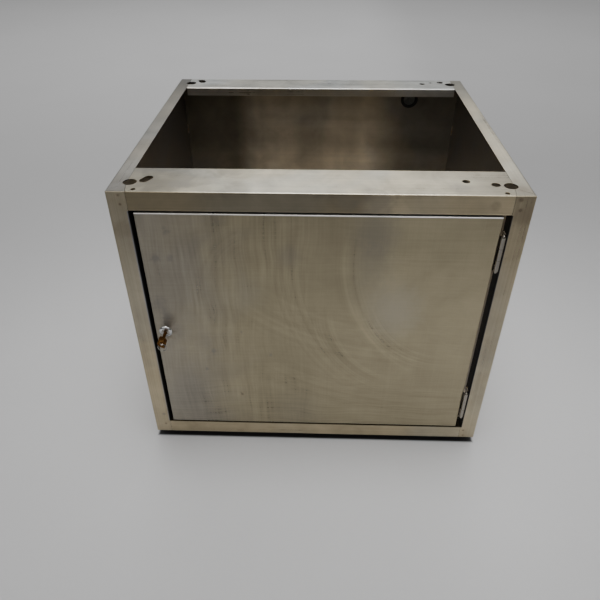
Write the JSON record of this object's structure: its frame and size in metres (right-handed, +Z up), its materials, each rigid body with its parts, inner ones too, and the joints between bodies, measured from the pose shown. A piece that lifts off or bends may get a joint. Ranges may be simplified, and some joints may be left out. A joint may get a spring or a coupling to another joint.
{
  "type": "base cabinet",
  "caption": "Stainless steel base cabinet: open top with drilled mounting flanges, flush hinged door with key lock, cable grommet and levelling feet.",
  "frame": {"origin": "on the floor below the middle of the object's bounding box", "axes": "+X to the cabinet's right seen from the front, +Y to its back, +Z up"},
  "size_m": [0.6, 0.588, 0.512],
  "materials": {
    "brushed_stainless": "brushed and hand-buffed sheet, faint grime",
    "plain_steel": "bright drawn steel",
    "chromed_lock": "polished chrome plate",
    "key_brass": "tarnished brass",
    "black_rubber": "matt moulded rubber",
    "foot_plastic": "moulded glass-filled plastic"
  },
  "bodies": {
    "cabinet": {"side_panel_left": "brushed_stainless", "side_panel_right": "brushed_stainless", "back_panel": "brushed_stainless", "floor_panel": "brushed_stainless", "front_top_rail": "brushed_stainless", "rear_top_rail": "brushed_stainless", "front_bottom_rail": "brushed_stainless", "rear_bottom_rail": "brushed_stainless", "foot_plates": "brushed_stainless", "foot_nuts": "plain_steel", "cable_grommet": "black_rubber", "door_bumpers": "black_rubber", "hinge_frame_leaf_upper": "plain_steel", "hinge_frame_leaf_lower": "plain_steel", "hinge_pin_upper": "plain_steel", "hinge_pin_lower": "plain_steel"},
    "door": {"door_panel": "brushed_stainless", "hinge_door_leaf_upper": "plain_steel", "hinge_door_leaf_lower": "plain_steel", "lock_housing": "chromed_lock", "lock_nut": "chromed_lock"},
    "lock_barrel": {"lock_plug": "plain_steel", "lock_cam": "plain_steel", "cam_screw": "plain_steel"},
    "key": {"key": "key_brass"},
    "key_ring": {"key_ring": "plain_steel"},
    "foot_front_left": {"foot_pad_front_left": "foot_plastic", "foot_stud_front_left": "plain_steel"},
    "foot_front_right": {"foot_pad_front_right": "foot_plastic", "foot_stud_front_right": "plain_steel"},
    "foot_rear_left": {"foot_pad_rear_left": "foot_plastic", "foot_stud_rear_left": "plain_steel"},
    "foot_rear_right": {"foot_pad_rear_right": "foot_plastic", "foot_stud_rear_right": "plain_steel"}
  },
  "joints": [
    {"name": "door_hinge", "type": "hinge", "parent": "cabinet", "child": "door", "pos_m": [0.26675, -0.257, 0.259], "axis": [0, 0, 1], "range_deg": [0, 180]},
    {"name": "lock_turn", "type": "hinge", "parent": "door", "child": "lock_barrel", "pos_m": [-0.249, -0.256, 0.259], "axis": [0, 1, 0], "range_deg": [-38, 52]},
    {"name": "key_pull", "type": "slide", "parent": "lock_barrel", "child": "key", "axis": [0, -1, 0], "range_m": [0, 0.024]},
    {"name": "key_ring_swing", "type": "hinge", "parent": "key", "child": "key_ring", "pos_m": [-0.249, -0.2894, 0.2597], "axis": [0, 1, 0], "range_deg": [-60, 0]},
    {"name": "foot_front_left_height", "type": "slide", "parent": "cabinet", "child": "foot_front_left", "axis": [0, 0, -1], "range_m": [0, 0.012]},
    {"name": "foot_front_right_height", "type": "slide", "parent": "cabinet", "child": "foot_front_right", "axis": [0, 0, -1], "range_m": [0, 0.012]},
    {"name": "foot_rear_left_height", "type": "slide", "parent": "cabinet", "child": "foot_rear_left", "axis": [0, 0, -1], "range_m": [0, 0.012]},
    {"name": "foot_rear_right_height", "type": "slide", "parent": "cabinet", "child": "foot_rear_right", "axis": [0, 0, -1], "range_m": [0, 0.012]}
  ]
}
